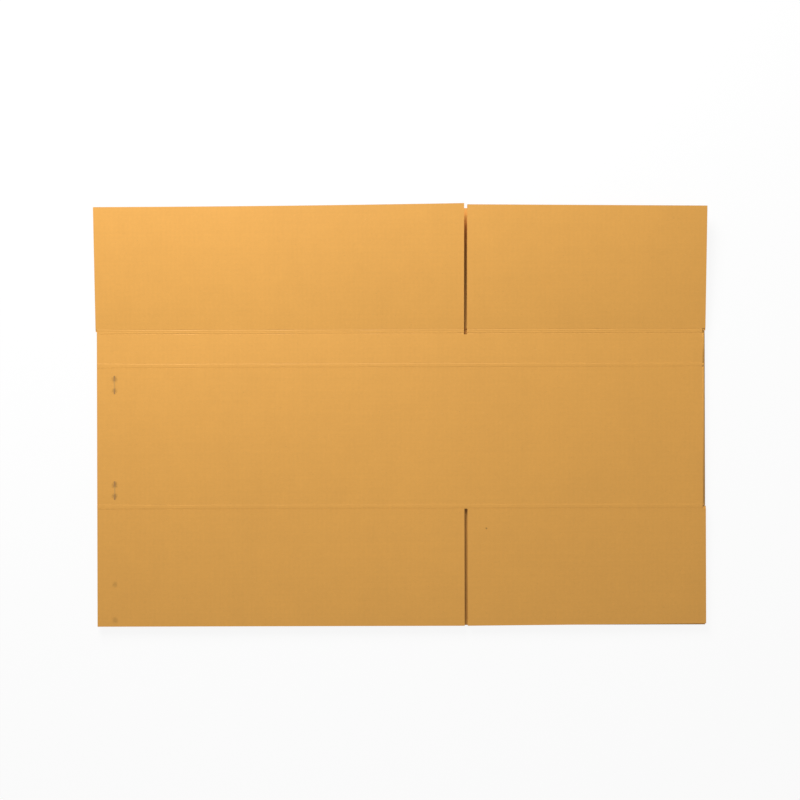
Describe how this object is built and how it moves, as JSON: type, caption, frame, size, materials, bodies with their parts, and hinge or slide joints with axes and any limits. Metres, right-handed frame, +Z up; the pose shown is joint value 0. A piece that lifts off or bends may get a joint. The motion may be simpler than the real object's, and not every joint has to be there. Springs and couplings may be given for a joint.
{
  "type": "flattened cardboard box",
  "caption": "Slotted corrugated shipping box folded flat, face up, with scored flaps that turn up over the face panels and a wire-stitched lap joint.",
  "frame": {"origin": "centre of the whole outline, on the table under the lower layer", "axes": "+X along the scores from the long face panel to the short one, +Y up the face towards the upper flaps, +Z up off the table out of the face"},
  "size_m": [0.994, 0.6868, 0.025],
  "materials": {
    "kraft_board": "matt unprinted brown kraft liner",
    "stitching_wire": "dull coppered flat wire"
  },
  "bodies": {
    "walls": {"folded_walls": "kraft_board", "wire_stitches": "stitching_wire"},
    "upper_long_flap": {"upper_long_flap": "kraft_board"},
    "upper_short_flap": {"upper_short_flap": "kraft_board"},
    "lower_long_flap": {"lower_long_flap": "kraft_board"},
    "lower_short_flap": {"lower_short_flap": "kraft_board"}
  },
  "joints": [
    {"name": "upper_long_fold", "type": "hinge", "parent": "walls", "child": "upper_long_flap", "pos_m": [-0.197, 0.1365, 0.0111], "axis": [1, 0, 0], "range_deg": [0, 166]},
    {"name": "upper_short_fold", "type": "hinge", "parent": "walls", "child": "upper_short_flap", "pos_m": [0.303, 0.1365, 0.0111], "axis": [1, 0, 0], "range_deg": [0, 166]},
    {"name": "lower_long_fold", "type": "hinge", "parent": "walls", "child": "lower_long_flap", "pos_m": [-0.197, -0.1485, 0.0111], "axis": [-1, 0, 0], "range_deg": [0, 150]},
    {"name": "lower_short_fold", "type": "hinge", "parent": "walls", "child": "lower_short_flap", "pos_m": [0.303, -0.1485, 0.0111], "axis": [-1, 0, 0], "range_deg": [0, 150]}
  ]
}
